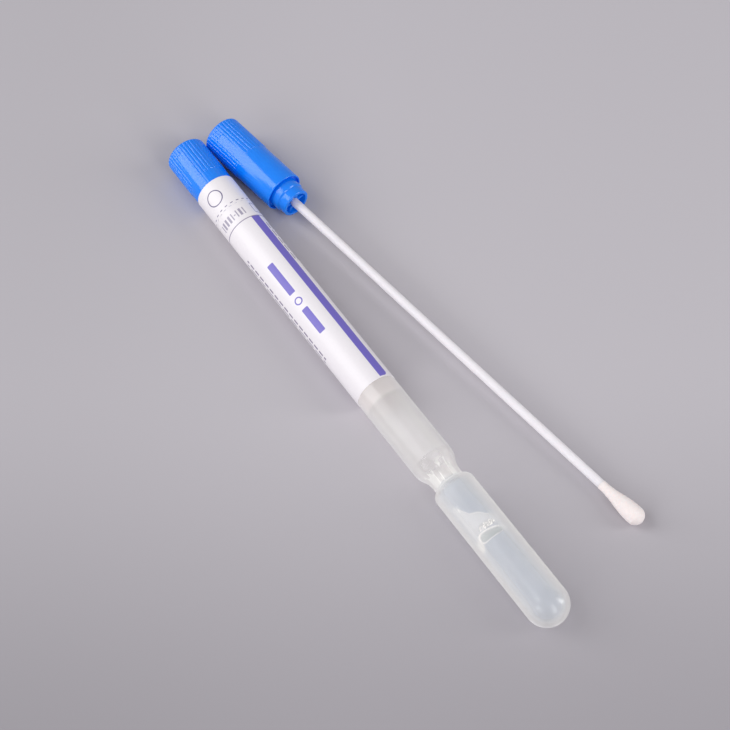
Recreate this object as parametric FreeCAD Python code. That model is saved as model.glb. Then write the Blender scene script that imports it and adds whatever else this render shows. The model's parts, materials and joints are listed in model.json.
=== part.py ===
import FreeCAD, Part
import math
import os

# Specimen swab kit at rest on a surface, in millimetres.
# The capped tube lies along +X, round end forwards, with its mouth at x = 0 while it is built.
# The swab lies beside it on +Y. The whole kit is moved to the bottom centre of its box at the end.

# Tube
tube_radius = 6.0
tube_length = 154.0
tube_wall = 1.2
rim_round = 0.25
neck_radius = 4.4
neck_start = 97.8
neck_land = 1.7
neck_taper_bend = 6.8
chamber_inner_bend = 0.6
chamber_shoulder_bend = 2.0

# Transport medium in the lower chamber
medium_gap = 0.02
medium_rise_in_neck = 0.6
meniscus_depth = 0.5

# Both caps
cap_top_wall = 1.4
cap_edge_round = 0.8
cap_rim_round = 0.2
rib_count = 36
rib_groove_radius = 0.32
rib_groove_depth = 0.2
rib_window_length = 9.8
rib_window_turn = 31.0
plug_clearance = 0.05
plug_seal_length = 2.4
plug_nose_length = 3.0
plug_nose_step = 0.4
plug_wall = 0.9
plug_end_round = 0.3

# Storage cap on the tube
tube_cap_length = 27.7
tube_cap_rib_length = 12.9
tube_cap_window_start = 27.0

# Label of the tube, torn along a perforation at the cap's rim
label_thickness = 0.1
label_length = 71.6
seal_band_length = 10.75
tear_gap = 0.1
band_glue_gap = 0.02

# Swab
swab_cap_length = 28.3
swab_cap_rib_length = 13.7
swab_cap_window_start = 17.5
swab_cap_lip = 0.4
swab_cap_relief_depth = 1.0
shaft_radius = 1.25
shaft_socket_depth = 8.0
shaft_end_cover = 2.5
socket_gap = 0.02
fin_count = 6
fin_thickness = 0.8
fin_recess = 0.9
swab_reach = 142.8
bud_radius = 2.65
bud_length = 14.8
bud_edge = 0.1

# How the two lie beside each other
swab_yaw = math.radians(7.9)
swab_shoulder_x = 0.4
lying_gap = 0.15

plug_length = plug_seal_length + plug_nose_length
bore_radius = tube_radius - tube_wall
plug_radius = bore_radius - plug_clearance
nose_radius = plug_radius - plug_nose_step
hollow_radius = nose_radius - plug_wall
label_radius = tube_radius + label_thickness
rib_radius = label_radius

axis_start = FreeCAD.Vector(0, 0, 0)
x_axis = FreeCAD.Vector(1, 0, 0)
y_axis = FreeCAD.Vector(0, 1, 0)
z_axis = FreeCAD.Vector(0, 0, 1)


def at(x, radius):
    """Point of a turned outline: x along the axis, radius off it."""
    return FreeCAD.Vector(x, 0, radius)


def line(start, end):
    return Part.LineSegment(start, end).toShape()


def arc(centre, radius, start_angle, end_angle):
    """Arc in the outline's plane, angles from +X towards +radius."""
    def on_arc(angle):
        offset = FreeCAD.Vector(math.cos(angle), 0, math.sin(angle))
        return centre + offset * radius
    middle_angle = (start_angle + end_angle) / 2
    return Part.Arc(on_arc(start_angle), on_arc(middle_angle), on_arc(end_angle)).toShape()


def bend_turn(radius_change, first_bend, second_bend):
    """Turn of two tangent arcs, a right angle where the step is higher than both bends."""
    return math.acos(max(0, 1 - radius_change / (first_bend + second_bend)))


def bend_length(radius_change, first_bend, second_bend):
    """Length along X of two tangent arcs that change the radius by radius_change."""
    return (first_bend + second_bend) * math.sin(bend_turn(radius_change, first_bend, second_bend))


def joined_bends(first, second):
    """Two arcs in a row, with a flat between them where they don't meet."""
    flat_start = first.Vertexes[-1].Point
    flat_end = second.Vertexes[0].Point
    if flat_start.distanceToPoint(flat_end) > 1e-6:
        return [first, line(flat_start, flat_end), second]
    return [first, second]


def narrowing(x, start_radius, end_radius, first_bend, second_bend):
    """Convex arc, then concave arc, from start_radius down to end_radius."""
    change = start_radius - end_radius
    length = bend_length(change, first_bend, second_bend)
    turn = bend_turn(change, first_bend, second_bend)
    first_centre = at(x, start_radius - first_bend)
    second_centre = at(x + length, end_radius + second_bend)
    convex = arc(first_centre, first_bend, math.pi / 2, math.pi / 2 - turn)
    concave = arc(second_centre, second_bend, -math.pi / 2 - turn, -math.pi / 2)
    return joined_bends(convex, concave)


def widening(x, start_radius, end_radius, first_bend, second_bend):
    """Concave arc, then convex arc, from start_radius up to end_radius."""
    change = end_radius - start_radius
    length = bend_length(change, first_bend, second_bend)
    turn = bend_turn(change, first_bend, second_bend)
    first_centre = at(x, start_radius + first_bend)
    second_centre = at(x + length, end_radius - second_bend)
    concave = arc(first_centre, first_bend, -math.pi / 2, -math.pi / 2 + turn)
    convex = arc(second_centre, second_bend, math.pi / 2 + turn, math.pi / 2)
    return joined_bends(concave, convex)


def turned(edges, turn=360):
    """Solid of revolution about the X axis from one closed outline."""
    wire = Part.Wire(Part.__sortEdges__(edges))
    return Part.Face(wire).revolve(axis_start, x_axis, turn)


def outline(points):
    """Straight edges round a closed outline."""
    return [line(at(*start), at(*end)) for start, end in zip(points, points[1:] + points[:1])]


neck_taper_length = bend_length(tube_radius - neck_radius, neck_taper_bend, neck_taper_bend)
neck_narrow = neck_start + neck_taper_length
neck_end = neck_narrow + neck_land
shoulder_length = bend_length(tube_radius - neck_radius, chamber_inner_bend, chamber_shoulder_bend)
chamber_start = neck_end + shoulder_length
chamber_end = tube_length - tube_radius
medium_top = neck_end - medium_rise_in_neck


def chamber_outline(inset):
    """Neck's lower end, shoulder, chamber and round end, inset from the tube's outside."""
    side = tube_radius - inset
    flare = widening(neck_end, neck_radius - inset, side,
                     chamber_inner_bend + inset, chamber_shoulder_bend - inset)
    straight = line(at(chamber_start, side), at(chamber_end, side))
    round_end = arc(at(chamber_end, 0), side, math.pi / 2, 0)
    return flare + [straight, round_end]


def make_tube():
    """Tube with a narrowed neck above a round-ended lower chamber."""
    def wall_side(inset):
        side = tube_radius - inset
        waist = neck_radius - inset
        upper = line(at(rim_round, side), at(neck_start, side))
        taper = narrowing(neck_start, side, waist, neck_taper_bend - inset, neck_taper_bend + inset)
        land = line(at(neck_narrow, waist), at(neck_end, waist))
        return [upper] + taper + [land] + chamber_outline(inset)

    outside = wall_side(0)
    inside = wall_side(tube_wall)
    bottom = line(at(tube_length, 0), at(tube_length - tube_wall, 0))
    outer_rim = arc(at(rim_round, tube_radius - rim_round), rim_round, math.pi / 2, math.pi)
    inner_rim = arc(at(rim_round, bore_radius + rim_round), rim_round, math.pi, 1.5 * math.pi)
    mouth = line(at(0, tube_radius - rim_round), at(0, bore_radius + rim_round))
    return turned(outside + [bottom] + inside + [inner_rim, mouth, outer_rim])


def make_medium():
    """Gel that fills the chamber up into the neck, with a hollow top."""
    inset = tube_wall + medium_gap
    waist = neck_radius - inset
    wetted = line(at(medium_top, waist), at(neck_end, waist))
    dip = at(medium_top + meniscus_depth, 0)
    meniscus_radius = (waist ** 2 + meniscus_depth ** 2) / (2 * meniscus_depth)
    half_turn = math.asin(waist / meniscus_radius)
    centre = at(medium_top + meniscus_depth - meniscus_radius, 0)
    meniscus = arc(centre, meniscus_radius, 0, half_turn)
    axis = line(dip, at(tube_length - inset, 0))
    return turned([axis, meniscus, wetted] + chamber_outline(inset))


def cap_body(length, rib_length):
    """Closed barrel with a raised grip at its top and a hollow two-step plug that points to +X."""
    grip_end = rib_length - length
    plug_end = plug_length
    nose_start = plug_seal_length + plug_nose_step
    edges = [
        line(at(-length, 0), at(-length, rib_radius - cap_edge_round)),
        arc(at(cap_edge_round - length, rib_radius - cap_edge_round), cap_edge_round, math.pi, math.pi / 2),
        line(at(cap_edge_round - length, rib_radius), at(grip_end, rib_radius)),
        line(at(grip_end, rib_radius), at(grip_end, tube_radius)),
        line(at(grip_end, tube_radius), at(-cap_rim_round, tube_radius)),
        arc(at(-cap_rim_round, tube_radius - cap_rim_round), cap_rim_round, math.pi / 2, 0),
        line(at(0, tube_radius - cap_rim_round), at(0, plug_radius)),
        line(at(0, plug_radius), at(plug_seal_length, plug_radius)),
        line(at(plug_seal_length, plug_radius), at(nose_start, nose_radius)),
        line(at(nose_start, nose_radius), at(plug_end - plug_end_round, nose_radius)),
        arc(at(plug_end - plug_end_round, nose_radius - plug_end_round), plug_end_round, math.pi / 2, 0),
        line(at(plug_end, nose_radius - plug_end_round), at(plug_end, hollow_radius)),
        line(at(plug_end, hollow_radius), at(cap_top_wall - length, hollow_radius)),
        line(at(cap_top_wall - length, hollow_radius), at(cap_top_wall - length, 0)),
        line(at(cap_top_wall - length, 0), at(-length, 0)),
    ]
    return turned(edges)


def rib_cutters(length, rib_length, window_start):
    """Grooves between the fine grip ribs, and a plain window that interrupts the ribs."""
    grip_end = rib_length - length
    height = rib_radius + rib_groove_radius - rib_groove_depth
    groove = Part.makeCylinder(rib_groove_radius, rib_length, at(grip_end, height), x_axis * -1)
    window_top = grip_end - rib_window_length
    short_groove = Part.makeCylinder(rib_groove_radius, rib_length - rib_window_length,
                                     at(window_top, height), x_axis * -1)
    window = turned(outline([(window_top, tube_radius), (window_top, rib_radius + 1),
                             (grip_end + 1, rib_radius + 1), (grip_end + 1, tube_radius)]), rib_window_turn)
    window.rotate(axis_start, x_axis, window_start)
    cutters = [window]
    for index in range(rib_count):
        angle = index * 360 / rib_count
        in_window = window_start < angle < window_start + rib_window_turn
        turned_groove = (short_groove if in_window else groove).copy()
        turned_groove.rotate(axis_start, x_axis, angle)
        cutters.append(turned_groove)
    return cutters


def make_tube_cap():
    """Storage cap, whose plug closes the tube's mouth."""
    cap = cap_body(tube_cap_length, tube_cap_rib_length)
    return cap.cut(rib_cutters(tube_cap_length, tube_cap_rib_length, tube_cap_window_start))


def make_swab_cap():
    """Handle cap, with fins inside that grip the end of the shaft."""
    cap = cap_body(swab_cap_length, swab_cap_rib_length)
    socket_end = plug_length - fin_recess
    root = hollow_radius + plug_wall / 3
    floor_x = cap_top_wall / 2 - swab_cap_length
    pieces = [cap]
    for index in range(fin_count):
        fin = Part.makeBox(socket_end - floor_x, fin_thickness, root,
                           FreeCAD.Vector(floor_x, -fin_thickness / 2, 0))
        fin.rotate(axis_start, x_axis, (index + 0.5) * 360 / fin_count)
        pieces.append(fin)
    cap = pieces[0].fuse(pieces[1:]).removeSplitter()
    socket = Part.makeCylinder(shaft_radius + socket_gap, shaft_socket_depth + socket_end,
                               at(-shaft_socket_depth, 0), x_axis)
    lip_radius = tube_radius - swab_cap_lip
    relief = turned(outline([(-swab_cap_relief_depth, plug_radius), (-swab_cap_relief_depth, lip_radius),
                             (1, lip_radius), (1, plug_radius)]))
    cutters = rib_cutters(swab_cap_length, swab_cap_rib_length, swab_cap_window_start)
    return cap.cut([socket, relief] + cutters)


def make_label():
    """Paper sleeve glued round the tube, from the perforation down."""
    start = tear_gap / 2
    return turned(outline([(start, tube_radius), (start, label_radius),
                           (label_length, label_radius), (label_length, tube_radius)]))


def make_seal_band():
    """Part of the label above the perforation, glued round the cap's barrel."""
    start = -seal_band_length
    end = -tear_gap / 2
    inner_radius = tube_radius + band_glue_gap
    return turned(outline([(start, inner_radius), (start, label_radius),
                           (end, label_radius), (end, inner_radius)]))


bud_start = swab_reach - bud_length
bud_ball = swab_reach - bud_radius


def make_swab_shaft():
    """Round stick from the socket in the cap to inside the bud."""
    shaft_end = swab_reach - shaft_end_cover
    return Part.makeCylinder(shaft_radius, shaft_end + shaft_socket_depth, at(-shaft_socket_depth, 0), x_axis)


def make_swab_bud():
    """Wound fibre tip, a drop shape that ends in half a ball."""
    bore = shaft_radius + socket_gap
    neck = shaft_radius + bud_edge
    run = bud_ball - bud_start
    change = bud_radius - neck
    bend = (run ** 2 + change ** 2) / (4 * change)
    bore_end = swab_reach - shaft_end_cover + socket_gap
    edges = widening(bud_start, neck, bud_radius, bend, bend) + [
        arc(at(bud_ball, 0), bud_radius, math.pi / 2, 0),
        line(at(swab_reach, 0), at(bore_end, 0)),
        line(at(bore_end, 0), at(bore_end, bore)),
        line(at(bore_end, bore), at(bud_start, bore)),
        line(at(bud_start, bore), at(bud_start, neck)),
    ]
    return turned(edges)


def swab_placement():
    """Where the swab lies: on its barrel's rim and its bud, close beside the tube's cap."""
    span = math.hypot(bud_ball, tube_radius)
    tilt = math.acos(bud_radius / span) - math.atan2(bud_ball, tube_radius)
    far_end = swab_cap_length - cap_edge_round
    shoulder_y = (rib_radius + lying_gap + rib_radius * math.cos(swab_yaw)
                  + far_end * math.sin(swab_yaw))
    height = tube_radius * math.cos(tilt)
    turn = FreeCAD.Rotation(z_axis, math.degrees(swab_yaw)).multiply(
        FreeCAD.Rotation(y_axis, math.degrees(tilt)))
    return FreeCAD.Placement(FreeCAD.Vector(swab_shoulder_x, shoulder_y, height), turn)


def build_kit():
    lying_tube = FreeCAD.Placement(FreeCAD.Vector(0, 0, label_radius), FreeCAD.Rotation())
    lying_swab = swab_placement()
    pieces = {
        "tube": (make_tube(), lying_tube),
        "transport_medium": (make_medium(), lying_tube),
        "tube_cap": (make_tube_cap(), lying_tube),
        "seal_band": (make_seal_band(), lying_tube),
        "label": (make_label(), lying_tube),
        "swab_cap": (make_swab_cap(), lying_swab),
        "swab_shaft": (make_swab_shaft(), lying_swab),
        "swab_bud": (make_swab_bud(), lying_swab),
    }
    return pieces, lying_tube, lying_swab


def export_kit():
    pieces, lying_tube, lying_swab = build_kit()
    placed = {}
    box = FreeCAD.BoundBox()
    for name, (shape, placement) in pieces.items():
        placed[name] = shape.copy()
        placed[name].Placement = placement
        box.add(placed[name].optimalBoundingBox(False, False))
    to_origin = FreeCAD.Vector(-box.Center.x, -box.Center.y, -box.ZMin)
    os.makedirs("parts", exist_ok=True)
    for name, shape in placed.items():
        shape.translate(to_origin)
        shape.exportStep("parts/" + name + ".step")
        print(name, "valid", shape.isValid(), "solids", len(shape.Solids), "volume", round(shape.Volume, 2))
    print("size", round(box.XLength, 3), round(box.YLength, 3), round(box.ZLength, 3))
    print("tube mouth", lying_tube.Base + to_origin)
    print("chamber from", chamber_start, "to", chamber_end, "medium top", medium_top)
    print("swab shoulder", lying_swab.Base + to_origin)
    print("swab direction", lying_swab.Rotation.multVec(x_axis))


export_kit()
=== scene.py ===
import json
import math
import random

import bmesh
import bpy
from mathutils import Matrix, Vector, noise


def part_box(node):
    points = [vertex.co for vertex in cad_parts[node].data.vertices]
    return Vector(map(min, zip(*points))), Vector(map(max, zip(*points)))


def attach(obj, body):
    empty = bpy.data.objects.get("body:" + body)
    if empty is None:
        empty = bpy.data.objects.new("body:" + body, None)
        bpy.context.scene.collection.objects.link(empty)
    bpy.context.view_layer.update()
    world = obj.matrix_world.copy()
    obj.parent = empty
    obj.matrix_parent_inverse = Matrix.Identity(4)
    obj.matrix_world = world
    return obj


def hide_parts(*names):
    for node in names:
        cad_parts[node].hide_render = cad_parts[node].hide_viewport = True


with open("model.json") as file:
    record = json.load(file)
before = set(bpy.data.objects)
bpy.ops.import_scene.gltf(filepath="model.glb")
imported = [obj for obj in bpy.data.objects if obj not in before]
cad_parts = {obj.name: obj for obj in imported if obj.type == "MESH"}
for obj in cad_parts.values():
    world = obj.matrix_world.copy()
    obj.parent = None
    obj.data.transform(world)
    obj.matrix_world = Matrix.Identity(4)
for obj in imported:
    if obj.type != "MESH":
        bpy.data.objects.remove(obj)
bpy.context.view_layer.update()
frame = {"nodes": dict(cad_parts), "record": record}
print("frame loaded, nodes:", ", ".join(sorted(frame["nodes"])))

mm = 0.001                      # pieces are drawn in millimetres on their own axis, then seated in metres
fullTurn = math.tau


# Where the two groups of pieces sit

def tubeSeat():
    low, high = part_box("tube")
    mouth = Vector((low.x, (low.y + high.y) / 2, (low.z + high.z) / 2))
    return Matrix.Translation(mouth) @ Matrix.Scale(mm, 4)


def swabSeat():
    plug = next(mount for mount in frame["record"]["mounts"] if mount["name"] == "swab_plug")
    along = Vector(plug["axis"])
    shoulder = Vector(plug["pos_m"]) - along * plug["dims"]["length_mm"] * mm / 2
    turn = Matrix.Rotation(math.atan2(along.y, along.x), 4, "Z")
    dip = Matrix.Rotation(math.asin(-along.z), 4, "Y")
    return Matrix.Translation(shoulder) @ turn @ dip @ Matrix.Scale(mm, 4)


onTube = tubeSeat()
onSwab = swabSeat()


# Drawing and turning outlines. x runs along the axis and the second number is the radius.

def drawOutline(bm, start, moves):
    # a move is (x, radius), (x, radius, corner round) or (centre x, centre radius, degrees, steps)
    pen = bm.verts.new((start[0], 0, start[1]))
    rounds = []
    for move in moves:
        if len(move) == 4:
            arc = bmesh.ops.spin(bm, geom=[pen], cent=(move[0], 0, move[1]), axis=(0, 1, 0),
                                 angle=math.radians(move[2]), steps=move[3])
            pen = next(item for item in arc["geom_last"] if isinstance(item, bmesh.types.BMVert))
        else:
            pen = bmesh.ops.extrude_vert_indiv(bm, verts=[pen])["verts"][0]
            pen.co = (move[0], 0, move[1])
            if len(move) == 3:
                rounds.append((pen, move[2]))
    for corner, offset in rounds:
        bmesh.ops.bevel(bm, geom=[corner], affect="VERTICES", offset=offset, segments=3, profile=0.5,
                        material=-1)


def turnOutline(bm, steps):
    bmesh.ops.spin(bm, geom=bm.verts[:] + bm.edges[:], cent=(0, 0, 0), axis=(1, 0, 0),
                   angle=fullTurn, steps=steps, use_merge=True)
    bmesh.ops.remove_doubles(bm, verts=bm.verts[:], dist=1e-4)
    bmesh.ops.recalc_face_normals(bm, faces=bm.faces[:])


def roundAngle(co):
    return math.atan2(-co.y, co.z)          # 0 on top, growing towards -Y


def setRadius(vert, radius):
    share = radius / math.hypot(vert.co.y, vert.co.z)
    vert.co.y *= share
    vert.co.z *= share


def addPiece(bm, name, seat, material, body, node, sharpAngle=32):
    bmesh.ops.transform(bm, matrix=seat, verts=bm.verts[:])
    mesh = bpy.data.meshes.new(name)
    bm.to_mesh(mesh)
    bm.free()
    mesh.shade_smooth()
    mesh.set_sharp_from_angle(angle=math.radians(sharpAngle))
    mesh.materials.append(material)
    piece = bpy.data.objects.new(name, mesh)
    bpy.context.scene.collection.objects.link(piece)
    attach(piece, body)
    if node:
        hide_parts(node)
    print(name, "made,", len(mesh.polygons), "faces")


# Shader helpers

def linear(red, green, blue):
    def one(value):
        value /= 255
        return value / 12.92 if value <= 0.04045 else ((value + 0.055) / 1.055) ** 2.4
    return (one(red), one(green), one(blue), 1)


def newMaterial(name):
    material = bpy.data.materials.new(name)
    material.use_nodes = True
    tree = material.node_tree
    return material, tree, tree.nodes["Principled BSDF"]


def feed(tree, source, target):
    # source is a socket or a plain value
    if isinstance(source, bpy.types.NodeSocket):
        tree.links.new(source, target)
    else:
        target.default_value = source


def setInputs(node, values):
    for label, value in values.items():
        node.inputs[label].default_value = value


def mathNode(tree, operation, first, second=0.0, third=None):
    node = tree.nodes.new("ShaderNodeMath")
    node.operation = operation
    feed(tree, first, node.inputs[0])
    feed(tree, second, node.inputs[1])
    if third is not None:
        feed(tree, third, node.inputs[2])
    return node.outputs[0]


def vectorNode(tree, operation, first, second=None, output=0):
    node = tree.nodes.new("ShaderNodeVectorMath")
    node.operation = operation
    feed(tree, first, node.inputs[0])
    if second is not None:
        feed(tree, second, node.inputs[1])
    return node.outputs[output]


def rangeNode(tree, value, low, high, newLow=0.0, newHigh=1.0, kind="LINEAR"):
    node = tree.nodes.new("ShaderNodeMapRange")
    node.interpolation_type = kind
    feed(tree, value, node.inputs["Value"])
    feed(tree, low, node.inputs["From Min"])
    feed(tree, high, node.inputs["From Max"])
    feed(tree, newLow, node.inputs["To Min"])
    feed(tree, newHigh, node.inputs["To Max"])
    return node.outputs["Result"]


def mixColour(tree, factor, first, second, blend="MIX"):
    node = tree.nodes.new("ShaderNodeMix")
    node.data_type = "RGBA"
    node.blend_type = blend
    feed(tree, factor, node.inputs[0])
    feed(tree, first, node.inputs[6])
    feed(tree, second, node.inputs[7])
    return node.outputs[2]


def rampNode(tree, value, stops):
    node = tree.nodes.new("ShaderNodeValToRGB")
    feed(tree, value, node.inputs["Fac"])
    ramp = node.color_ramp
    while len(ramp.elements) < len(stops):
        ramp.elements.new(1.0)
    for element, (position, tone) in zip(ramp.elements, stops):
        element.position = position
        element.color = tone
    return node.outputs


def noiseNode(tree, vector, scale, detail=2.0, roughness=0.5, distortion=0.0):
    node = tree.nodes.new("ShaderNodeTexNoise")
    feed(tree, vector, node.inputs["Vector"])
    setInputs(node, {"Scale": scale, "Detail": detail, "Roughness": roughness, "Distortion": distortion})
    return node.outputs["Fac"]


def fromNoise(tree, value, low=0.0, high=1.0):
    # noise keeps mostly between 0.3 and 0.7, so that range is stretched
    return rangeNode(tree, value, 0.3, 0.7, low, high)


def bumpNode(tree, shader, height, strength, distance):
    node = tree.nodes.new("ShaderNodeBump")
    setInputs(node, {"Strength": strength, "Distance": distance})
    feed(tree, height, node.inputs["Height"])
    tree.links.new(node.outputs["Normal"], shader.inputs["Normal"])


def slantNode(tree):
    # 0 where a surface is seen square on, 1 at its outline
    node = tree.nodes.new("ShaderNodeLayerWeight")
    node.inputs["Blend"].default_value = 0.5
    return node.outputs["Facing"]


def clearToLamps(tree, alpha, lampAlpha):
    # a milky wall lets more of the lamps' light in than it shows of what is behind it
    light = tree.nodes.new("ShaderNodeLightPath")
    gap = mathNode(tree, "SUBTRACT", lampAlpha, alpha)
    return mathNode(tree, "MULTIPLY_ADD", light.outputs["Is Shadow Ray"], gap, alpha)


def seatedCoordinates(tree, seat):
    # object coordinates brought back to the piece's own axis, in millimetres
    place, turn, size = seat.decompose()
    coordinates = tree.nodes.new("ShaderNodeTexCoord")
    mapping = tree.nodes.new("ShaderNodeMapping")
    mapping.vector_type = "TEXTURE"
    setInputs(mapping, {"Location": place, "Rotation": turn.to_euler(), "Scale": size})
    tree.links.new(coordinates.outputs["Object"], mapping.inputs["Vector"])
    return mapping.outputs["Vector"]


def newGroup(name, inputs, outputs):
    group = bpy.data.node_groups.new(name, "ShaderNodeTree")
    for label, kind in inputs:
        group.interface.new_socket(name=label, in_out="INPUT", socket_type=kind)
    for label, kind in outputs:
        group.interface.new_socket(name=label, in_out="OUTPUT", socket_type=kind)
    return group, group.nodes.new("NodeGroupInput").outputs, group.nodes.new("NodeGroupOutput").inputs


def useGroup(tree, group, **values):
    node = tree.nodes.new("ShaderNodeGroup")
    node.node_tree = group
    for label, value in values.items():
        feed(tree, value, node.inputs[label])
    return node.outputs


def makeMouldGrain():
    # soft mottling and fine polish marks of a moulded plastic surface
    group, given, result = newGroup("mouldGrain", [("Place", "NodeSocketVector")],
                                    [("Mottle", "NodeSocketFloat"), ("Polish", "NodeSocketFloat")])
    feed(group, noiseNode(group, given["Place"], 0.45, 3), result["Mottle"])
    drawn = vectorNode(group, "MULTIPLY", given["Place"], (0.35, 6.0, 6.0))
    feed(group, noiseNode(group, drawn, 1.6, 4, 0.6), result["Polish"])
    return group


printBlur = 0.04                # how far the ink's edge fades, in millimetres


def makePrintedShape():
    # one printed rounded box or ring, repeated at a pitch inside a region: filled or as an outline
    group, given, result = newGroup(
        "printedShape",
        [("Place", "NodeSocketVector"), ("Centre", "NodeSocketVector"), ("Half", "NodeSocketVector"),
         ("HalfPitch", "NodeSocketVector"), ("Region", "NodeSocketVector"),
         ("Corner", "NodeSocketFloat"), ("Line", "NodeSocketFloat")],
        [("Filled", "NodeSocketFloat"), ("Outline", "NodeSocketFloat")])
    offset = vectorNode(group, "SUBTRACT", given["Place"], given["Centre"])
    past = group.nodes.new("ShaderNodeSeparateXYZ")
    pastRegion = vectorNode(group, "SUBTRACT", vectorNode(group, "ABSOLUTE", offset), given["Region"])
    feed(group, pastRegion, past.inputs[0])
    inRegion = mathNode(group, "LESS_THAN", mathNode(group, "MAXIMUM", past.outputs[0], past.outputs[1]), 0.0)
    wrap = group.nodes.new("ShaderNodeVectorMath")
    wrap.operation = "WRAP"
    feed(group, offset, wrap.inputs[0])
    feed(group, given["HalfPitch"], wrap.inputs[1])
    feed(group, vectorNode(group, "MULTIPLY", given["HalfPitch"], (-1, -1, -1)), wrap.inputs[2])
    beyond = vectorNode(group, "SUBTRACT", vectorNode(group, "ABSOLUTE", wrap.outputs[0]), given["Half"])
    split = group.nodes.new("ShaderNodeSeparateXYZ")
    feed(group, beyond, split.inputs[0])
    overU = mathNode(group, "ADD", split.outputs[0], given["Corner"])
    overV = mathNode(group, "ADD", split.outputs[1], given["Corner"])
    inside = mathNode(group, "MINIMUM", mathNode(group, "MAXIMUM", overU, overV), 0.0)
    outsideU = mathNode(group, "MAXIMUM", overU, 0.0)
    outsideV = mathNode(group, "MAXIMUM", overV, 0.0)
    reach = mathNode(group, "SQRT", mathNode(group, "ADD", mathNode(group, "MULTIPLY", outsideU, outsideU),
                                             mathNode(group, "MULTIPLY", outsideV, outsideV)))
    distance = mathNode(group, "SUBTRACT", mathNode(group, "ADD", reach, inside), given["Corner"])
    filled = rangeNode(group, distance, printBlur, -printBlur)
    feed(group, mathNode(group, "MULTIPLY", filled, inRegion), result["Filled"])
    halfLine = mathNode(group, "MULTIPLY", given["Line"], 0.5)
    fromLine = mathNode(group, "SUBTRACT",
                        mathNode(group, "ABSOLUTE", mathNode(group, "ADD", distance, halfLine)), halfLine)
    outlined = rangeNode(group, fromLine, printBlur, -printBlur)
    feed(group, mathNode(group, "MULTIPLY", outlined, inRegion), result["Outline"])
    return group


mouldGrain = makeMouldGrain()
printedShape = makePrintedShape()


# Stage: floor, world, lamps and camera

stageSizes = {"floorRadius": 4.0, "floorColour": linear(195, 191, 197), "nearPaintedShade": linear(164, 160, 166),
              "frontWay": (0.843, -0.538, 0), "frontReach": 0.13,
              "leftWay": (-0.537, -0.843, 0), "leftReach": 0.12, "leftShade": 0.90,
              "sky": (0.985, 0.98, 1.0, 1), "horizon": 0.46, "fill": 0.30}


def makeFloor():
    bm = bmesh.new()
    bmesh.ops.create_circle(bm, cap_ends=True, segments=96, radius=stageSizes["floorRadius"])
    mesh = bpy.data.meshes.new("floor")
    bm.to_mesh(mesh)
    bm.free()
    floor = bpy.data.objects.new("floor", mesh)
    bpy.context.scene.collection.objects.link(floor)
    material, tree, shader = newMaterial("paleFloor")
    place = tree.nodes.new("ShaderNodeTexCoord").outputs["Object"]
    # painted shade: the floor's colour darkens towards the front and to the left
    towardsFront = vectorNode(tree, "DOT_PRODUCT", place, stageSizes["frontWay"], output=1)
    share = rangeNode(tree, towardsFront, 0.0, stageSizes["frontReach"], kind="SMOOTHSTEP")
    towardsLeft = vectorNode(tree, "DOT_PRODUCT", place, stageSizes["leftWay"], output=1)
    shade = rangeNode(tree, towardsLeft, 0.0, stageSizes["leftReach"], 1.0, stageSizes["leftShade"],
                      kind="SMOOTHSTEP")
    tone = mixColour(tree, share, stageSizes["floorColour"], stageSizes["nearPaintedShade"])
    feed(tree, mixColour(tree, 1.0, tone, shade, "MULTIPLY"), shader.inputs["Base Color"])
    setInputs(shader, {"Roughness": 0.75, "Specular IOR Level": 0.2})
    mesh.materials.append(material)


def makeWorld():
    world = bpy.data.worlds.new("studio")
    bpy.context.scene.world = world
    world.use_nodes = True
    tree = world.node_tree
    background = tree.nodes["Background"]
    rays = tree.nodes.new("ShaderNodeLightPath").outputs
    seen = mathNode(tree, "MAXIMUM", mathNode(tree, "MAXIMUM", rays["Is Camera Ray"], rays["Is Glossy Ray"]),
                    rays["Is Transmission Ray"])
    background.inputs["Color"].default_value = stageSizes["sky"]
    strength = rangeNode(tree, seen, 0, 1, stageSizes["fill"], stageSizes["horizon"])
    feed(tree, strength, background.inputs["Strength"])


softBoxes = {
    "keySide": (-131, 35, 0.80, 1.10, 3.2),
    "frontLeft": (-78, 26, 0.62, 0.44, 3.3),
    "frontRight": (1.5, 31, 0.34, 0.85, 4.4),
    "farRight": (54, 28, 0.34, 0.90, 4.9),
}
boxDistance = 1.2


def makeLamps():
    for name, (azimuth, elevation, width, height, brightness) in softBoxes.items():
        light = bpy.data.lights.new(name, "AREA")
        light.shape = "RECTANGLE"
        light.size = width
        light.size_y = height
        light.energy = brightness * math.pi * width * height
        lamp = bpy.data.objects.new(name, light)
        bpy.context.scene.collection.objects.link(lamp)
        around, up = math.radians(azimuth), math.radians(elevation)
        away = Vector((math.cos(up) * math.cos(around), math.cos(up) * math.sin(around), math.sin(up)))
        lamp.location = away * boxDistance
        lamp.rotation_euler = away.to_track_quat("Z", "Y").to_euler()
        lamp.visible_camera = False


cameraSizes = {"place": (0.24843, -0.17218, 0.45941), "heading": 147.471, "dip": 56.972,
               "roll": -1.587, "lens": 98.37}


def makeCamera():
    heading, dip, roll = (math.radians(cameraSizes[key]) for key in ("heading", "dip", "roll"))
    forward = Vector((math.cos(dip) * math.cos(heading), math.cos(dip) * math.sin(heading), -math.sin(dip)))
    level = Vector((math.sin(heading), -math.cos(heading), 0))
    upright = level.cross(forward)
    right = level * math.cos(roll) + upright * math.sin(roll)
    up = upright * math.cos(roll) - level * math.sin(roll)
    data = bpy.data.cameras.new("camera")
    data.lens = cameraSizes["lens"]
    data.sensor_width = 36
    data.clip_end = 20
    camera = bpy.data.objects.new("camera", data)
    bpy.context.scene.collection.objects.link(camera)
    turn = Matrix((right, up, -forward)).transposed().to_4x4()
    camera.matrix_world = Matrix.Translation(cameraSizes["place"]) @ turn
    bpy.context.scene.camera = camera


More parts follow.
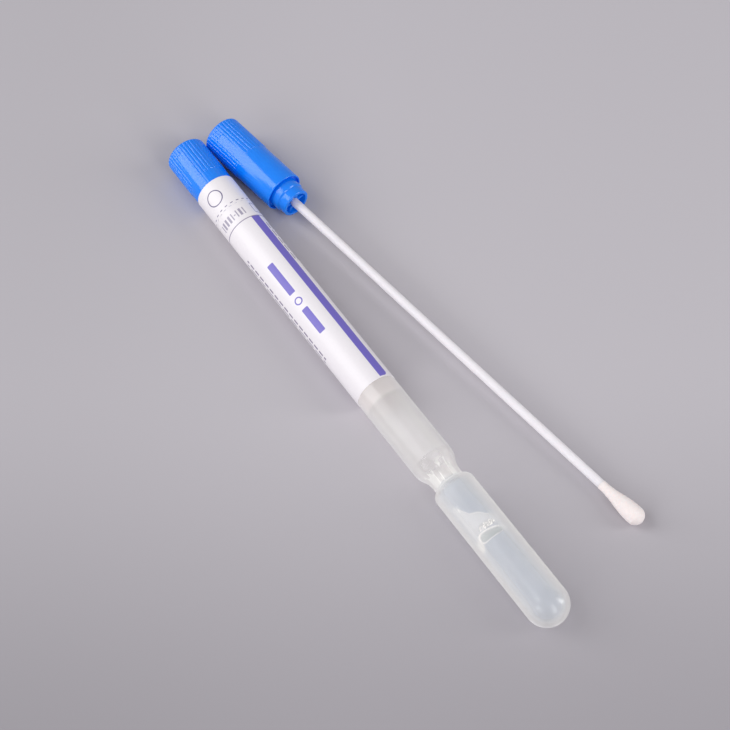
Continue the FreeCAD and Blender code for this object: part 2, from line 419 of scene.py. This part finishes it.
makeFloor()
makeWorld()
makeLamps()
makeCamera()
bpy.context.scene.view_settings.view_transform = "Standard"
print("stage, lamps and camera made")


# Tube

tubeSizes = {"radius": 6.0, "wall": 1.2, "length": 154.0, "rim": 0.25, "steps": 128,
             "neckRadius": 4.4, "neckStart": 97.8, "neckBend": 6.8, "neckLand": 1.7,
             "shoulderInner": 0.6, "shoulderOuter": 2.0}


def bendDegrees(drop, firstBend, secondBend):
    return math.degrees(math.acos(1 - drop / (firstBend + secondBend)))


def chamberMoves(inset):
    # from the neck's lower end round the shoulder to the end on the axis
    drop = tubeSizes["radius"] - tubeSizes["neckRadius"]
    inner, outer = tubeSizes["shoulderInner"], tubeSizes["shoulderOuter"]
    turn = bendDegrees(drop, inner, outer)
    neckEnd = neckNarrow() + tubeSizes["neckLand"]
    chamberStart = neckEnd + (inner + outer) * math.sin(math.radians(turn))
    ballCentre = tubeSizes["length"] - tubeSizes["radius"]
    return [(neckEnd, tubeSizes["neckRadius"] - inset),
            (neckEnd, tubeSizes["neckRadius"] + inner, -turn, 8),
            (chamberStart, tubeSizes["radius"] - outer, turn, 8),
            (ballCentre, tubeSizes["radius"] - inset),
            (ballCentre, 0, 90, 20)]


def neckNarrow():
    drop = tubeSizes["radius"] - tubeSizes["neckRadius"]
    turn = bendDegrees(drop, tubeSizes["neckBend"], tubeSizes["neckBend"])
    return tubeSizes["neckStart"] + 2 * tubeSizes["neckBend"] * math.sin(math.radians(turn))


def wallMoves(inset):
    bend, start = tubeSizes["neckBend"], tubeSizes["neckStart"]
    turn = bendDegrees(tubeSizes["radius"] - tubeSizes["neckRadius"], bend, bend)
    return [(start, tubeSizes["radius"] - inset),
            (start, tubeSizes["radius"] - bend, turn, 8),
            (neckNarrow(), tubeSizes["neckRadius"] + bend, -turn, 8)] + chamberMoves(inset)


# how pale and how cloudy the wall is, from the mouth to the round end: x, then the colour with its haze; the
# pink tint just past the label's foot is painted light glowing through the label
tubeMilkAndPaintedGlow = [(71.5, (0.88, 0.82, 0.81, 0.75)), (76.2, (0.88, 0.83, 0.82, 0.70)),
            (77.2, (0.785, 0.765, 0.755, 0.45)), (97.5, (0.785, 0.765, 0.755, 0.45)),
            (98.2, (0.77, 0.74, 0.735, 0.35)), (101.0, (0.84, 0.81, 0.80, 0.35)),
            (102.5, (0.92, 0.89, 0.86, 0.38)), (106.0, (0.92, 0.89, 0.86, 0.38)),
            (109.0, (1.0, 0.985, 0.955, 0.22))]
tubeLooks = {"slant": (0.1, 0.72), "edgeHaze": 0.95, "behindHaze": 0.15, "lampHaze": 0.08,
             "streakFrom": (98.5, 101.5), "streakTo": (107.5, 106.0),
             "paintedHighlightColour": (0.96, 0.95, 0.92, 1), "streakHaze": 0.8,
             "upperGloss": 0.42, "chamberGloss": 0.22, "endGloss": 1.0,
             "chamberFrom": (105.0, 110.0), "endFrom": (145.0, 149.0)}


def makeTubeMaterial():
    looks = tubeLooks
    material, tree, shader = newMaterial("milkyTube")
    place = seatedCoordinates(tree, onTube)
    grain = useGroup(tree, mouldGrain, Place=place)
    along = vectorNode(tree, "DOT_PRODUCT", place, (1, 0, 0), output=1)
    milkAndGlow = rampNode(tree, rangeNode(tree, along, 0, tubeSizes["length"]),
                    [(x / tubeSizes["length"], tone) for x, tone in tubeMilkAndPaintedGlow])
    # painted highlight streaks along the neck, drawn lengthwise
    drawn = noiseNode(tree, vectorNode(tree, "MULTIPLY", place, (0.1, 1, 1)), 0.6, 2)
    inNeck = mathNode(tree, "MULTIPLY", rangeNode(tree, along, *looks["streakFrom"]),
                      rangeNode(tree, along, *looks["streakTo"]))
    paintedHighlights = mathNode(tree, "MULTIPLY", rangeNode(tree, drawn, 0.5, 0.6), inNeck)
    worn = mixColour(tree, grain["Mottle"], (0.97, 0.97, 0.97, 1), (1, 1, 1, 1))
    plain = mixColour(tree, 1.0, milkAndGlow["Color"], worn, blend="MULTIPLY")
    feed(tree, mixColour(tree, paintedHighlights, plain, looks["paintedHighlightColour"]), shader.inputs["Base Color"])
    feed(tree, fromNoise(tree, grain["Polish"], 0.14, 0.2), shader.inputs["Roughness"])
    # the wall is cloudier where it is seen at a slant, and its far side adds little
    share = rangeNode(tree, slantNode(tree), *looks["slant"])
    gain = mathNode(tree, "SUBTRACT", looks["edgeHaze"], milkAndGlow["Alpha"])
    alpha = mathNode(tree, "MULTIPLY_ADD", share, gain, milkAndGlow["Alpha"])
    alpha = mathNode(tree, "MAXIMUM", alpha, mathNode(tree, "MULTIPLY", paintedHighlights, looks["streakHaze"]))
    behind = tree.nodes.new("ShaderNodeNewGeometry").outputs["Backfacing"]
    alpha = mathNode(tree, "MULTIPLY", alpha, rangeNode(tree, behind, 0, 1, 1, looks["behindHaze"]))
    feed(tree, clearToLamps(tree, alpha, looks["lampHaze"]), shader.inputs["Alpha"])
    upper = rangeNode(tree, along, *looks["chamberFrom"], looks["upperGloss"], looks["chamberGloss"])
    end = rangeNode(tree, along, *looks["endFrom"], looks["chamberGloss"], looks["endGloss"])
    outside = rangeNode(tree, behind, 0, 1, 1, 0)
    gloss = mathNode(tree, "MULTIPLY", mathNode(tree, "MAXIMUM", upper, end), outside)
    feed(tree, gloss, shader.inputs["Coat Weight"])
    setInputs(shader, {"Transmission Weight": 0.22, "IOR": 1.1, "Coat Roughness": 0.18, "Coat IOR": 2.2,
                       "Sheen Weight": 1.0, "Sheen Roughness": 0.5})
    return material


def makeTube():
    sizes = tubeSizes
    bm = bmesh.new()
    drawOutline(bm, (sizes["rim"], sizes["radius"]), wallMoves(0))
    bore = sizes["radius"] - sizes["wall"]
    drawOutline(bm, (sizes["rim"], bore), wallMoves(sizes["wall"]))
    drawOutline(bm, (sizes["rim"], bore), [(sizes["rim"], bore + sizes["rim"], 90, 4),
                                           (0, sizes["radius"] - sizes["rim"]),
                                           (sizes["rim"], sizes["radius"] - sizes["rim"], 90, 4)])
    turnOutline(bm, sizes["steps"])
    addPiece(bm, "tubeBody", onTube, makeTubeMaterial(), "tube_and_swab", "tube")


makeTube()


# Gel in the lower chamber

gelSizes = {"inset": 1.22, "top": 105.3, "dip": 0.5, "steps": 176, "detailFrom": 110.0, "detailTo": 130.0,
            "detailSteps": 100, "foldDepth": 0.14, "foldHalfWidth": 0.35, "frothDepth": 0.45}
gelLooks = {"alpha": 0.8, "edgeAlpha": 0.15, "lampAlpha": 0.28, "rimAbove": 0.16, "rimBelow": 0.10,
            "rimPaintedGlint": 1.5, "greyFrom": 0.95, "greyFade": 0.2, "hazeWhite": 0.5, "hazeFade": 3,
            "frothGain": 2.5, "frothWhite": 0.6, "speckleWhite": 4, "speckleGrey": 2}
bubble = {"x": 125.55, "degrees": 11.0, "halfLength": 1.2, "halfTurn": 51.0, "depth": 0.5,
          "skew": 0.35, "widening": 0.45, "thinnest": 0.3}
# the fold in the gel as (degrees, x)
foldLine = [(-75, 123.3), (-50, 122.0), (-12, 120.5), (7, 119.0), (31, 118.0), (47, 115.5), (56, 114.0),
            (75, 113.2)]
# the fold tip's painted highlight and the patches of froth, as (x, degrees, half length, half turn)
foldTipHighlight = (115.2, 54, 1.5, 11)
frothPatches = [(122.9, 10, 0.95, 36), (126.2, 82, 1.8, 24)]
beadSizes = {"count": 150, "smallest": 0.07, "spread": 0.17, "alongFrom": 111, "alongTo": 146,
             "turnFrom": -40, "turnTo": 110, "inFroth": 0.4, "stray": 0.002, "sink": 0.4, "proud": 0.01}


def foldPlace(degrees):
    for (firstAngle, firstX), (nextAngle, nextX) in zip(foldLine, foldLine[1:]):
        if firstAngle <= degrees <= nextAngle:
            share = (degrees - firstAngle) / (nextAngle - firstAngle)
            return firstX + (nextX - firstX) * share
    return None


def bubbleReach(x, degrees):
    # 0 in the middle of the large air bubble, 1 on its edge
    turn = (degrees - bubble["degrees"]) / bubble["halfTurn"]
    halfLength = max(bubble["thinnest"], bubble["halfLength"] + bubble["widening"] * turn)
    along = (x - bubble["x"] + bubble["skew"] * turn) / halfLength
    return math.hypot(turn * turn, along)


def frothReach(x, degrees):
    # how deep a place lies in a patch of froth, 1 in its middle
    return max(0, *(1 - ((x - midX) / halfLength) ** 2 - ((degrees - midTurn) / halfTurn) ** 2
                    for midX, midTurn, halfLength, halfTurn in frothPatches))


def gelHollow(x, degrees):
    # depth of the hollows that air leaves between gel and wall, then how white and how grey they look; the
    # white is painted reflection on the bubble's rim and along the fold, painted highlight at the fold's tip,
    # and white froth
    sizes, looks = gelSizes, gelLooks
    reach = bubbleReach(x, degrees)
    depth = bubble["depth"] * math.sqrt(max(0, 1 - reach ** 2))
    # painted reflection: a white line round the air bubble's rim
    rim = looks["rimAbove"] if x < bubble["x"] else looks["rimBelow"]
    white = max(0, looks["rimPaintedGlint"] - abs(reach - 1.0) / rim)
    grey = max(0, min(1, (looks["greyFrom"] - reach) / looks["greyFade"]))
    fold = foldPlace(degrees)
    if fold is not None:
        off = (x - fold) / sizes["foldHalfWidth"]
        depth = max(depth, sizes["foldDepth"] * max(0, 1 - abs(off)))
        beyond = max(0, min(1, off + 0.5)) * max(0, min(1, (bubble["x"] - x) / looks["hazeFade"]))
        tipX, tipTurn, tipLength, tipHalfTurn = foldTipHighlight
        tip = max(0, 1 - math.hypot((x - tipX) / tipLength, (degrees - tipTurn) / tipHalfTurn))
        # painted reflection along the fold, painted highlight at its tip, and a paler haze past the fold
        white = max(white, max(0, 1 - abs(off)), looks["hazeWhite"] * beyond, tip)
    froth = min(1, looks["frothGain"] * frothReach(x, degrees))
    white = max(white, looks["frothWhite"] * froth)
    depth = max(depth, sizes["frothDepth"] * froth)
    speckle = noise.noise(Vector((x * 1.9, degrees * 0.16, 0))) * froth
    white = max(white, looks["speckleWhite"] * speckle)
    grey = max(grey, -looks["speckleGrey"] * speckle)
    return depth, min(1, white), min(1, grey)


def makeGelMaterial():
    material, tree, shader = newMaterial("opalGel")
    place = seatedCoordinates(tree, onTube)
    cloud = noiseNode(tree, place, 0.12, 3, 0.55)
    colour = mixColour(tree, fromNoise(tree, cloud), (0.475, 0.51, 0.585, 1), (0.53, 0.555, 0.62, 1))
    # the grey marks the air bubble's inside; the white holds froth together with the painted reflections and
    # highlight on the bubble's rim and the fold
    for name, tone in (("airGrey", (0.48, 0.51, 0.51, 1)), ("frothAndPaintedGlint", (1.0, 0.96, 0.94, 1))):
        marks = tree.nodes.new("ShaderNodeAttribute")
        marks.attribute_name = name
        colour = mixColour(tree, marks.outputs["Fac"], colour, tone)
    feed(tree, colour, shader.inputs["Base Color"])
    fading = rangeNode(tree, slantNode(tree), 0.4, 0.95, gelLooks["alpha"], gelLooks["edgeAlpha"])
    alpha = mathNode(tree, "MAXIMUM", fading, marks.outputs["Fac"])
    feed(tree, clearToLamps(tree, alpha, gelLooks["lampAlpha"]), shader.inputs["Alpha"])
    setInputs(shader, {"Roughness": 0.25, "Transmission Weight": 0.2, "Specular IOR Level": 0.2, "IOR": 1.34,
                       "Sheen Weight": 0.6, "Sheen Roughness": 0.5})
    return material


def makeGel():
    sizes = gelSizes
    bm = bmesh.new()
    waist = tubeSizes["neckRadius"] - sizes["inset"]
    hollow = (waist ** 2 + sizes["dip"] ** 2) / (2 * sizes["dip"])
    turn = math.degrees(math.asin(waist / hollow))
    bowl = (sizes["top"] + sizes["dip"] - hollow, 0, -turn, 8)
    side = tubeSizes["radius"] - sizes["inset"]
    step = (sizes["detailTo"] - sizes["detailFrom"]) / sizes["detailSteps"]
    stations = [(sizes["detailFrom"] + step * index, side) for index in range(sizes["detailSteps"] + 1)]
    shoulder, end = chamberMoves(sizes["inset"])[:3], chamberMoves(sizes["inset"])[3:]
    drawOutline(bm, (sizes["top"] + sizes["dip"], 0), [bowl] + shoulder + stations + end)
    turnOutline(bm, sizes["steps"])
    glintAndFrothLayer, greyLayer = (bm.verts.layers.float.new(name) for name in ("frothAndPaintedGlint", "airGrey"))
    for vert in bm.verts:
        if sizes["detailFrom"] < vert.co.x < sizes["detailTo"]:
            depth, white, grey = gelHollow(vert.co.x, math.degrees(roundAngle(vert.co)))
            setRadius(vert, side - depth)
            vert[glintAndFrothLayer] = white
            vert[greyLayer] = grey
    addPiece(bm, "gelMedium", onTube, makeGelMaterial(), "tube_and_swab", "transport_medium")


def makeBeads():
    # tiny air bubbles along the wall, thickest beside the large bubble
    sizes = beadSizes
    draws = random.Random(7)
    material, _, shader = newMaterial("airBead")
    setInputs(shader, {"Base Color": (1.0, 0.98, 0.96, 1), "Roughness": 0.05, "IOR": 1.5})
    bm = bmesh.new()
    made = 0
    while made < sizes["count"]:
        size = sizes["smallest"] + sizes["spread"] * draws.random() ** 2
        x = draws.uniform(sizes["alongFrom"], sizes["alongTo"])
        degrees = draws.uniform(sizes["turnFrom"], sizes["turnTo"])
        if frothReach(x, degrees) < draws.uniform(0, sizes["inFroth"]) and draws.random() > sizes["stray"]:
            continue
        depth = gelHollow(x, degrees)[0]
        wall = tubeSizes["radius"] - gelSizes["inset"] + sizes["proud"]
        reach = wall - size - sizes["sink"] * max(0, depth - 2 * size)
        angle = math.radians(degrees)
        place = Matrix.Translation((x, -reach * math.sin(angle), reach * math.cos(angle)))
        bmesh.ops.create_icosphere(bm, subdivisions=2, radius=size, matrix=place)
        made += 1
    addPiece(bm, "gelBeads", onTube, material, "tube_and_swab", None)


makeBeads()
makeGel()


# Caps

capSizes = {"radius": 6.0, "grip": 6.1, "topWall": 1.4, "edge": 0.8, "rim": 0.2,
            "plug": 4.75, "nose": 4.35, "hollow": 3.45, "sealLength": 2.4, "step": 0.4,
            "plugLength": 5.4, "plugEnd": 0.3, "ribs": 36, "ribSteps": 8, "groove": 0.32, "depth": 0.16,
            "window": 9.8, "windowTurn": math.radians(31), "edgeFall": 0.06, "dimpleDepth": 0.25,
            "dimpleFloor": 0.7, "dimpleRim": 1.1, "corner": 0.1, "plugCorner": 0.12, "stepCorner": 0.15,
            "hollowCorner": 0.5}
tubeCapSizes = {"length": 27.7, "ribLength": 12.9, "windowStart": math.radians(27), "lip": 1.25, "relief": 0}
swabCapSizes = {"length": 28.3, "ribLength": 13.7, "windowStart": math.radians(17.5), "lip": 0.4,
                "relief": 1.0, "fins": 6, "finThickness": 0.8, "finRecess": 0.9, "finRoot": 0.15,
                "finRound": 0.12, "socket": 1.27}


def capOutline(bm, cap):
    sizes = capSizes
    length, gripEnd, fall = cap["length"], cap["ribLength"] - cap["length"], sizes["edgeFall"]
    windowTop = gripEnd - sizes["window"]
    corner, lipEnd = sizes["corner"], sizes["radius"] - cap["lip"]
    relief = [(0, sizes["plug"], corner)]
    if cap["relief"]:
        relief = [(0, lipEnd, corner), (-cap["relief"], lipEnd), (-cap["relief"], sizes["plug"])]
    drawOutline(bm, (sizes["dimpleDepth"] - length, 0), [
        (sizes["dimpleDepth"] - length, sizes["dimpleFloor"], corner),
        (-length, sizes["dimpleRim"], corner),
        (-length, sizes["grip"] - sizes["edge"]),
        (sizes["edge"] - length, sizes["grip"] - sizes["edge"], 90, 12),
        (windowTop - fall, sizes["grip"]), (windowTop + fall, sizes["grip"]),
        (gripEnd - fall, sizes["grip"]), (gripEnd + fall, sizes["radius"]),
        (-sizes["rim"], sizes["radius"]),
        (-sizes["rim"], sizes["radius"] - sizes["rim"], 90, 4)] + relief + [
        (sizes["sealLength"], sizes["plug"], sizes["plugCorner"]),
        (sizes["sealLength"] + sizes["step"], sizes["nose"], sizes["stepCorner"]),
        (sizes["plugLength"] - sizes["plugEnd"], sizes["nose"]),
        (sizes["plugLength"] - sizes["plugEnd"], sizes["nose"] - sizes["plugEnd"], 90, 5),
        (sizes["plugLength"], sizes["hollow"], sizes["plugCorner"]),
        (sizes["topWall"] - length, sizes["hollow"], sizes["hollowCorner"]),
        (sizes["topWall"] - length, 0)])


def cutGrip(bm, cap):
    # fine grooves round the grip, interrupted by a plain window
    sizes = capSizes
    gripEnd = cap["ribLength"] - cap["length"]
    pitch = fullTurn / sizes["ribs"]
    for vert in bm.verts:
        radius = math.hypot(vert.co.y, vert.co.z)
        if vert.co.x > gripEnd or radius < sizes["hollow"] + 0.5:
            continue
        angle = roundAngle(vert.co)
        intoWindow = angle - cap["windowStart"]
        if vert.co.x > gripEnd - sizes["window"] and 0 < intoWindow < sizes["windowTurn"]:
            setRadius(vert, min(radius, sizes["radius"]))
            continue
        offset = angle - round(angle / pitch) * pitch
        axis = sizes["grip"] + sizes["groove"] - sizes["depth"]
        across = axis * math.sin(offset)
        if abs(across) < sizes["groove"]:
            floor = axis * math.cos(offset) - math.sqrt(sizes["groove"] ** 2 - across ** 2)
            if floor < radius:
                setRadius(vert, floor)


def makeCapMaterial(name, seat):
    material, tree, shader = newMaterial(name)
    place = seatedCoordinates(tree, seat)
    grain = useGroup(tree, mouldGrain, Place=place)
    feed(tree, mixColour(tree, grain["Mottle"], (0.003, 0.215, 0.95, 1), (0.005, 0.25, 1.0, 1)),
         shader.inputs["Base Color"])
    feed(tree, fromNoise(tree, grain["Polish"], 0.13, 0.18), shader.inputs["Roughness"])
    setInputs(shader, {"Specular IOR Level": 0.55, "IOR": 1.5, "Subsurface Weight": 0.05,
                       "Subsurface Radius": (0.2, 0.5, 1.0), "Subsurface Scale": 0.0008})
    bumpNode(tree, shader, grain["Polish"], 0.05, 0.00003)
    return material


def newCap(cap):
    bm = bmesh.new()
    capOutline(bm, cap)
    turnOutline(bm, capSizes["ribs"] * capSizes["ribSteps"])
    cutGrip(bm, cap)
    return bm


def makeTubeCap():
    bm = newCap(tubeCapSizes)
    addPiece(bm, "tubeCap", onTube, makeCapMaterial("blueTubeCap", onTube), "storage_cap", "tube_cap")


def makeSwabCap():
    sizes = swabCapSizes
    bm = newCap(sizes)
    finEnd = capSizes["plugLength"] - sizes["finRecess"]
    finStart = capSizes["topWall"] - sizes["length"]
    finTop = capSizes["hollow"] + sizes["finRoot"]
    for index in range(sizes["fins"]):
        size = Matrix.Diagonal((finEnd - finStart, sizes["finThickness"], finTop - sizes["socket"], 1))
        middle = Matrix.Translation(((finEnd + finStart) / 2, 0, (finTop + sizes["socket"]) / 2))
        turn = Matrix.Rotation((index + 0.5) * fullTurn / sizes["fins"], 4, "X")
        fin = bmesh.ops.create_cube(bm, size=1, matrix=turn @ middle @ size)["verts"]
        ends = {edge for vert in fin for edge in vert.link_edges if all(v.co.x > 0 for v in edge.verts)}
        bmesh.ops.bevel(bm, geom=list(ends), affect="EDGES", offset=sizes["finRound"], segments=2,
                        profile=0.5, material=-1)
    addPiece(bm, "swabCap", onSwab, makeCapMaterial("blueSwabCap", onSwab), "tube_and_swab", "swab_cap")


makeTubeCap()
makeSwabCap()


# Label and seal band: one printed film, torn along a perforation at the cap's rim

filmSizes = {"thickness": 0.1, "length": 71.6, "bandLength": 10.75, "top": 0.05, "bandFoot": 0.05,
             "dashes": 20, "dashSteps": 10, "bridgeSteps": 5, "tooth": 0.035,
             "seam": math.radians(138), "overlap": 2.6, "lap": 0.07, "slip": 0.3, "touch": 0.001}


def filmColumns():
    return filmSizes["dashes"] * filmSizes["dashSteps"]


def stretchTeeth(bm, x, shift):
    # the bridges between the slits keep their film, so they stand out a little past the edge
    column = fullTurn / filmColumns()
    bridges = []
    for face in bm.faces:
        if all(abs(vert.co.x - x) < filmSizes["touch"] for vert in face.verts):
            step = math.floor((roundAngle(face.calc_center_median()) % fullTurn) / column)
            if step % filmSizes["dashSteps"] < filmSizes["bridgeSteps"]:
                bridges.append(face)
    grown = bmesh.ops.extrude_face_region(bm, geom=bridges)["geom"]
    bmesh.ops.delete(bm, geom=bridges, context="FACES_ONLY")
    verts = [item for item in grown if isinstance(item, bmesh.types.BMVert)]
    bmesh.ops.translate(bm, verts=verts, vec=(shift, 0, 0))


def layPrintPlace(bm):
    # the print's own map: millimetres around the film, then along it
    layer = bm.loops.layers.uv.new("printPlace")
    radius = tubeSizes["radius"] + filmSizes["thickness"]
    for face in bm.faces:
        middle = roundAngle(face.calc_center_median())
        for loop in face.loops:
            angle = roundAngle(loop.vert.co)
            angle += fullTurn * round((middle - angle) / fullTurn)
            loop[layer].uv = (angle * radius, loop.vert.co.x)


def lapSeam(bm, freeEdge):
    # the film's end lies over its start, and its free edge runs a little out of true
    for vert in bm.verts:
        past = (roundAngle(vert.co) - filmSizes["seam"]) % fullTurn
        radius = math.hypot(vert.co.y, vert.co.z)
        outer = radius > tubeSizes["radius"] + filmSizes["thickness"] / 2
        if outer and past * radius < filmSizes["overlap"]:
            setRadius(vert, radius + filmSizes["lap"])
        if abs(vert.co.x - freeEdge) < filmSizes["touch"]:
            vert.co.x += filmSizes["slip"] * (past / fullTurn - 0.5)


def makeFilm(name, outline, toothEdge, toothShift, freeEdge, body, node, material):
    bm = bmesh.new()
    drawOutline(bm, outline[0], outline[1:] + outline[:1])
    turnOutline(bm, filmColumns())
    stretchTeeth(bm, toothEdge, toothShift)
    layPrintPlace(bm)
    lapSeam(bm, freeEdge)
    addPiece(bm, name, onTube, material, body, node)


violet = linear(118, 107, 200)
ink = linear(98, 90, 132)
paleInk = linear(140, 132, 158)
greyInk = linear(168, 162, 182)
dashPitch = fullTurn * (tubeSizes["radius"] + filmSizes["thickness"]) / filmSizes["dashes"]


def makeFilmMaterial(name, marks):
    # marks are (kind, centre u v, half u v, corner, line, colour, pitch u v, region half u v)
    material, tree, shader = newMaterial(name)
    uv = tree.nodes.new("ShaderNodeUVMap")
    uv.uv_map = "printPlace"
    place = uv.outputs["UV"]
    fibre = noiseNode(tree, place, 1.3, 3)
    colour = mixColour(tree, fibre, linear(240, 235, 240), linear(245, 241, 245))
    for kind, centre, half, corner, line, tone, pitch, region in marks:
        mask = useGroup(tree, printedShape, Place=place, Centre=(*centre, 0), Half=(*half, 1), Corner=corner,
                        Line=line, HalfPitch=(pitch[0] / 2, pitch[1] / 2, 50), Region=(*region, 50))[kind]
        colour = mixColour(tree, mask, colour, tone)
    feed(tree, colour, shader.inputs["Base Color"])
    feed(tree, fromNoise(tree, fibre, 0.34, 0.46), shader.inputs["Roughness"])
    fine = noiseNode(tree, place, 9.0, 2)
    bumpNode(tree, shader, fine, 0.12, 0.00002)
    return material


never = 1000                    # a pitch so long that a mark isn't repeated
once = (never, never)
labelMarks = [
    ("Filled", (-2.9, 40.0), (1.36, 31.2), 1.2, 0.1, violet, once, once),
    ("Filled", (-2.9, 15.0), (1.36, 8.6), 0.05, 0.1, violet, once, once),
    ("Filled", (-2.2, 62.0), (0.66, 9.2), 0.05, 0.1, violet, once, once),
    ("Filled", (0, 6.4), (30, 0.14), 0.02, 0.1, paleInk, once, once),
    ("Filled", (3.15, 29.1), (1.05, 5.9), 0.3, 0.1, violet, once, once),
    ("Outline", (3.15, 38.0), (1.25, 1.25), 1.25, 0.4, violet, once, once),
    ("Filled", (3.15, 45.5), (1.05, 4.6), 0.3, 0.1, violet, once, once),
    ("Filled", (5.35, 3.4), (0.36, 1.25), 0.12, 0.1, greyInk, (1.3, never), (2.6, 50)),
    ("Filled", (2.1, 3.4), (0.3, 0.16), 0.05, 0.1, greyInk, once, once),
    ("Filled", (0.15, 3.4), (0.36, 1.25), 0.12, 0.1, greyInk, (1.3, never), (1.3, 50)),
    ("Outline", (-7.6, 3.05), (3.45, 1.95), 0.4, 0.2, ink, once, once),
    ("Filled", (8.4, 36.0), (0.3, 0.95), 0.25, 0.1, paleInk, (never, 2.5), (50, 20)),
    ("Filled", (9.9, 36.0), (0.25, 1.6), 0.2, 0.1, paleInk, (never, 4.1), (50, 20)),
    ("Filled", (-6.6, 17.0), (0.22, 1.3), 0.2, 0.1, paleInk, (1.5, 3.2), (2.2, 8)),
    ("Outline", (16.0, 38.0), (4.2, 26.0), 0.6, 0.25, violet, once, once),
    ("Filled", (16.0, 38.0), (0.08, 23.5), 0.05, 0.1, paleInk, (2.6, never), (3.8, 50)),
    ("Filled", (-12.6, 42.0), (0.22, 2.2), 0.2, 0.1, paleInk, (1.6, 5.6), (3.9, 25)),
]
bandMarks = [
    ("Outline", (3.6, -5.45), (2.6, 2.6), 2.6, 0.32, ink, once, once),
    ("Filled", (0.5, -0.84), (0.44, 0.125), 0.03, 0.1, ink, (dashPitch, never), (50, 50)),
]


def makeLabelAndBand():
    inner, thick = tubeSizes["radius"] + 0.01, filmSizes["thickness"] - 0.01
    top, foot = filmSizes["top"], filmSizes["length"]
    labelOutline = [(top, inner), (top, inner + thick), (foot, inner + thick), (foot, inner)]
    makeFilm("wrapLabel", labelOutline, top, -filmSizes["tooth"], foot, "tube_and_swab", "label",
             makeFilmMaterial("labelFilm", labelMarks))
    low, high = filmSizes["bandFoot"], filmSizes["bandLength"]
    bandOutline = [(-low, inner), (-low, inner + thick), (-high, inner + thick), (-high, inner)]
    makeFilm("sealBand", bandOutline, -low, filmSizes["tooth"], -high, "storage_cap", "seal_band",
             makeFilmMaterial("bandFilm", bandMarks))


makeLabelAndBand()


# Swab stick

stickSizes = {"radius": 1.25, "start": -8.0, "end": 140.3, "steps": 48, "partLine": 0.025}


def makeStickMaterial():
    material, tree, shader = newMaterial("whiteStick")
    place = seatedCoordinates(tree, onSwab)
    grain = useGroup(tree, mouldGrain, Place=place)
    feed(tree, mixColour(tree, grain["Mottle"], linear(236, 232, 237), linear(244, 240, 244)),
         shader.inputs["Base Color"])
    feed(tree, fromNoise(tree, grain["Polish"], 0.36, 0.5), shader.inputs["Roughness"])
    setInputs(shader, {"Specular IOR Level": 0.3, "Subsurface Weight": 0.6,
                       "Subsurface Radius": (1.0, 0.95, 0.95), "Subsurface Scale": 0.0015})
    bumpNode(tree, shader, grain["Polish"], 0.2, 0.00003)
    return material


def makeStick():
    sizes = stickSizes
    bm = bmesh.new()
    drawOutline(bm, (sizes["start"], 0), [(sizes["start"], sizes["radius"], 0.1),
                                          (sizes["end"], sizes["radius"], 0.1), (sizes["end"], 0)])
    turnOutline(bm, sizes["steps"])
    for vert in bm.verts:
        if abs(vert.co.z) < 0.01 and abs(vert.co.y) > sizes["radius"] - 0.01:
            setRadius(vert, sizes["radius"] + sizes["partLine"])
    addPiece(bm, "swabStick", onSwab, makeStickMaterial(), "tube_and_swab", "swab_shaft",
             sharpAngle=60)


makeStick()


# Fibre bud

budSizes = {"reach": 142.8, "radius": 2.65, "length": 14.8, "neck": 1.35, "bore": 1.27, "steps": 120,
            "windings": 0.018, "tangle": 0.035, "sink": 0.05, "fadeLength": 2, "tipFade": 0.6}


def makeBudMaterial():
    material, tree, shader = newMaterial("woundFibre")
    place = seatedCoordinates(tree, onSwab)
    tangle = noiseNode(tree, vectorNode(tree, "MULTIPLY", place, (3.0, 1.0, 1.0)), 2.6, 5, 0.65, 0.6)
    colour = mixColour(tree, fromNoise(tree, tangle), linear(248, 234, 233), linear(254, 245, 243))
    feed(tree, colour, shader.inputs["Base Color"])
    setInputs(shader, {"Roughness": 0.9, "Specular IOR Level": 0.25, "Sheen Weight": 0.3,
                       "Subsurface Weight": 0.3, "Subsurface Radius": (1.0, 0.85, 0.8),
                       "Subsurface Scale": 0.0008})
    bumpNode(tree, shader, tangle, 0.35, 0.00008)
    return material


def budSurface(point):
    # winding ridges that climb the bud, with a tangle of fibres over them
    angle = roundAngle(point)
    winding = math.sin(point.x * 5.2 + angle * 2 + 1.5 * noise.noise(point * 0.6))
    tangle = noise.fractal(Vector((point.x * 2.2, point.y * 0.9, point.z * 0.9)), 1.0, 2.0, 3)
    return budSizes["windings"] * winding + budSizes["tangle"] * tangle


def makeBud():
    sizes = budSizes
    bm = bmesh.new()
    start = sizes["reach"] - sizes["length"]
    ball = sizes["reach"] - sizes["radius"]
    rise = sizes["radius"] - sizes["neck"]
    bend = ((ball - start) ** 2 + rise ** 2) / (4 * rise)
    turn = bendDegrees(rise, bend, bend)
    drawOutline(bm, (start, sizes["bore"]), [
        (start, sizes["neck"]),
        (start, sizes["neck"] + bend, -turn, 32), (ball, sizes["radius"] - bend, turn, 32),
        (ball, 0, 90, 26)])
    turnOutline(bm, sizes["steps"])
    for vert in bm.verts:
        radius = math.hypot(vert.co.y, vert.co.z)
        if radius > sizes["bore"] + 0.03 or vert.co.x > ball:
            away = Vector((max(vert.co.x - ball, 0), vert.co.y, vert.co.z)).normalized()
            fade = min(1, (vert.co.x - start) / sizes["fadeLength"]) * min(1, radius / sizes["tipFade"])
            vert.co += away * (budSurface(vert.co) - sizes["sink"]) * fade
    addPiece(bm, "fibreBud", onSwab, makeBudMaterial(), "tube_and_swab", "swab_bud",
             sharpAngle=80)


makeBud()
